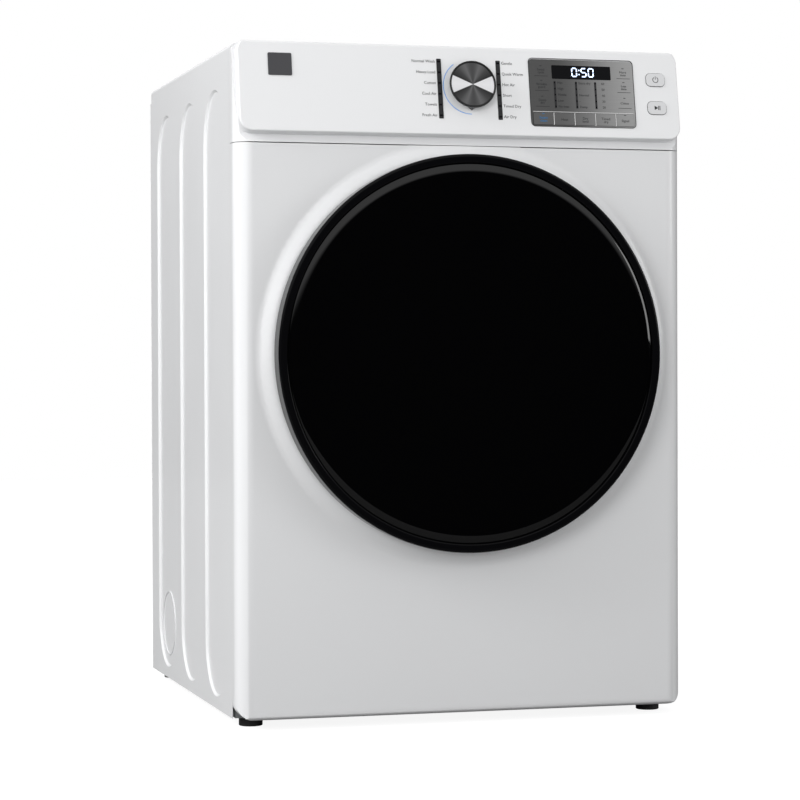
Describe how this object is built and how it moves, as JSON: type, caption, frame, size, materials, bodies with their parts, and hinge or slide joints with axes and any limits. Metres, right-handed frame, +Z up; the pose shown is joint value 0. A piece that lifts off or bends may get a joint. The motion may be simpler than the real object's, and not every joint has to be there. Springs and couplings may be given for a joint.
{
  "type": "clothes_dryer",
  "caption": "Front-loading electric clothes dryer, white steel cabinet, black round glass door, leaning control console with dial, display and keys",
  "frame": {"origin": "on the floor under the middle of the machine's overall box", "axes": "+X to the right seen from the front, +Y to the back, +Z up; the door faces -Y"},
  "size_m": [0.6858, 0.7797, 0.9965],
  "materials": {
    "white_enamel": "satin",
    "white_plastic": "satin",
    "button_grey": "satin",
    "galvanised_steel": "satin",
    "stainless_drum": "satin",
    "overlay_steel": "satin",
    "key_steel": "satin",
    "spun_metal": "satin",
    "knob_black": "gloss",
    "door_black": "gloss",
    "smoked_glass": "gloss",
    "clear_glass": "gloss",
    "grey_plastic": "matte",
    "dark_plastic": "matte",
    "light_grey_plastic": "matte",
    "display_black": "gloss",
    "badge_grey": "gloss",
    "board_green": "matte",
    "rubber_black": "matte",
    "rubber_grey": "matte",
    "felt_grey": "matte",
    "motor_paint": "satin",
    "spring_steel": "gloss",
    "zinc_steel": "satin",
    "brass_fitting": "satin",
    "lamp_lens": "gloss",
    "ink_grey": "matte",
    "digit_glow": "gloss"
  },
  "bodies": {
    "cabinet": {"front_panel": "white_enamel", "left_side_panel": "white_enamel", "right_side_panel": "white_enamel", "top_panel": "white_enamel", "rear_panel": "galvanised_steel", "base_pan": "galvanised_steel", "terminal_cover": "galvanised_steel", "water_valve": "light_grey_plastic", "cabinet_screws": "zinc_steel", "console_panel": "white_plastic", "control_overlay": "overlay_steel", "display_lens": "display_black", "indicator_lights": "ink_grey", "badge_plate": "badge_grey", "control_board": "board_green", "hinge_bracket": "zinc_steel", "door_catch": "dark_plastic", "front_bulkhead": "galvanised_steel", "rear_bulkhead": "galvanised_steel", "drum_seals": "felt_grey", "roller_axles": "zinc_steel", "drum_lamp": "lamp_lens", "drum_belt": "rubber_black", "idler_spring": "spring_steel", "motor_bracket": "galvanised_steel", "motor_body": "motor_paint", "blower_housing": "grey_plastic", "lint_duct": "grey_plastic", "heater_box": "galvanised_steel", "exhaust_duct": "galvanised_steel"},
    "door": {"door_frame": "door_black", "door_glass": "smoked_glass", "door_inner_panel": "light_grey_plastic", "door_window": "clear_glass", "door_seal": "rubber_grey", "door_hinge": "zinc_steel"},
    "drum": {"drum_shell": "stainless_drum", "drum_baffles": "light_grey_plastic"},
    "rotor": {"motor_rotor": "zinc_steel", "blower_wheel": "dark_plastic"},
    "tensioner": {"idler_arm": "zinc_steel"},
    "tension_pulley": {"idler_pulley": "grey_plastic"},
    "dial": {"dial_knob": "knob_black", "dial_cap": "spun_metal"},
    "filter": {"lint_filter": "light_grey_plastic"},
    "power_button_body": {"power_button": "button_grey"},
    "start_button_body": {"start_button": "button_grey"},
    "key_1": {"option_key_1": "key_steel"},
    "key_2": {"option_key_2": "key_steel"},
    "key_3": {"option_key_3": "key_steel"},
    "key_4": {"option_key_4": "key_steel"},
    "key_5": {"option_key_5": "key_steel"},
    "front_roller_left_body": {"front_roller_left": "dark_plastic"},
    "front_roller_right_body": {"front_roller_right": "dark_plastic"},
    "rear_roller_left_body": {"rear_roller_left": "dark_plastic"},
    "rear_roller_right_body": {"rear_roller_right": "dark_plastic"},
    "foot_front_left_body": {"foot_front_left": "rubber_black"},
    "foot_front_right_body": {"foot_front_right": "rubber_black"},
    "foot_rear_left_body": {"foot_rear_left": "rubber_black"},
    "foot_rear_right_body": {"foot_rear_right": "rubber_black"}
  },
  "joints": [
    {"name": "door_hinge_joint", "type": "hinge", "parent": "cabinet", "child": "door", "pos_m": [0.28, -0.3759, 0.5431], "axis": [0, 0, 1], "range_deg": [0, 115]},
    {"name": "drum_spin", "type": "hinge", "parent": "cabinet", "child": "drum", "pos_m": [0, 0, 0.5431], "axis": [0, 1, 0], "continuous": true},
    {"name": "rotor_spin", "type": "hinge", "parent": "cabinet", "child": "rotor", "pos_m": [-0.04, 0, 0.125], "axis": [0, 1, 0], "continuous": true},
    {"name": "tensioner_pivot", "type": "hinge", "parent": "cabinet", "child": "tensioner", "pos_m": [0.032, 0, 0.118], "axis": [0, 1, 0], "range_deg": [0, 12], "stiffness_Nm_per_rad": 2, "springref_deg": -20.05, "deforming": ["idler_spring"]},
    {"name": "tension_pulley_spin", "type": "hinge", "parent": "tensioner", "child": "tension_pulley", "pos_m": [0.07223, -0.015, 0.17484], "axis": [0, 1, 0], "continuous": true},
    {"name": "dial_turn", "type": "hinge", "parent": "cabinet", "child": "dial", "pos_m": [0.0104, -0.34155, 0.93588], "axis": [0, -0.9848, 0.1736], "continuous": true},
    {"name": "filter_lift", "type": "slide", "parent": "cabinet", "child": "filter", "axis": [0, 0, 1], "range_m": [0, 0.24]},
    {"name": "front_roller_left_spin", "type": "hinge", "parent": "cabinet", "child": "front_roller_left_body", "pos_m": [-0.22196, -0.273, 0.27859], "axis": [0, 1, 0], "continuous": true},
    {"name": "front_roller_right_spin", "type": "hinge", "parent": "cabinet", "child": "front_roller_right_body", "pos_m": [0.22196, -0.273, 0.27859], "axis": [0, 1, 0], "continuous": true},
    {"name": "rear_roller_left_spin", "type": "hinge", "parent": "cabinet", "child": "rear_roller_left_body", "pos_m": [-0.22196, 0.297, 0.27859], "axis": [0, 1, 0], "continuous": true},
    {"name": "rear_roller_right_spin", "type": "hinge", "parent": "cabinet", "child": "rear_roller_right_body", "pos_m": [0.22196, 0.297, 0.27859], "axis": [0, 1, 0], "continuous": true},
    {"name": "power_button_press", "type": "slide", "parent": "cabinet", "child": "power_button_body", "axis": [0, 0.9848, -0.1736], "range_m": [0, 0.0015], "stiffness_N_per_m": 600, "springref_m": -0.001},
    {"name": "start_button_press", "type": "slide", "parent": "cabinet", "child": "start_button_body", "axis": [0, 0.9848, -0.1736], "range_m": [0, 0.0015], "stiffness_N_per_m": 600, "springref_m": -0.001},
    {"name": "key_1_press", "type": "slide", "parent": "cabinet", "child": "key_1", "axis": [0, 0.9848, -0.1736], "range_m": [0, 0.001], "stiffness_N_per_m": 600, "springref_m": -0.001},
    {"name": "key_2_press", "type": "slide", "parent": "cabinet", "child": "key_2", "axis": [0, 0.9848, -0.1736], "range_m": [0, 0.001], "stiffness_N_per_m": 600, "springref_m": -0.001},
    {"name": "key_3_press", "type": "slide", "parent": "cabinet", "child": "key_3", "axis": [0, 0.9848, -0.1736], "range_m": [0, 0.001], "stiffness_N_per_m": 600, "springref_m": -0.001},
    {"name": "key_4_press", "type": "slide", "parent": "cabinet", "child": "key_4", "axis": [0, 0.9848, -0.1736], "range_m": [0, 0.001], "stiffness_N_per_m": 600, "springref_m": -0.001},
    {"name": "key_5_press", "type": "slide", "parent": "cabinet", "child": "key_5", "axis": [0, 0.9848, -0.1736], "range_m": [0, 0.001], "stiffness_N_per_m": 600, "springref_m": -0.001},
    {"name": "foot_front_left_screw", "type": "slide", "parent": "cabinet", "child": "foot_front_left_body", "axis": [0, 0, -1], "range_m": [0, 0.02]},
    {"name": "foot_front_right_screw", "type": "slide", "parent": "cabinet", "child": "foot_front_right_body", "axis": [0, 0, -1], "range_m": [0, 0.02]},
    {"name": "foot_rear_left_screw", "type": "slide", "parent": "cabinet", "child": "foot_rear_left_body", "axis": [0, 0, -1], "range_m": [0, 0.02]},
    {"name": "foot_rear_right_screw", "type": "slide", "parent": "cabinet", "child": "foot_rear_right_body", "axis": [0, 0, -1], "range_m": [0, 0.02]}
  ],
  "couplings": [
    {"joint": "rotor_spin", "follows": "drum_spin", "ratio": 26},
    {"joint": "front_roller_left_spin", "follows": "drum_spin", "ratio": -8.857},
    {"joint": "front_roller_right_spin", "follows": "drum_spin", "ratio": -8.857},
    {"joint": "rear_roller_left_spin", "follows": "drum_spin", "ratio": -8.857},
    {"joint": "rear_roller_right_spin", "follows": "drum_spin", "ratio": -8.857},
    {"joint": "tension_pulley_spin", "follows": "drum_spin", "ratio": -17.33}
  ]
}
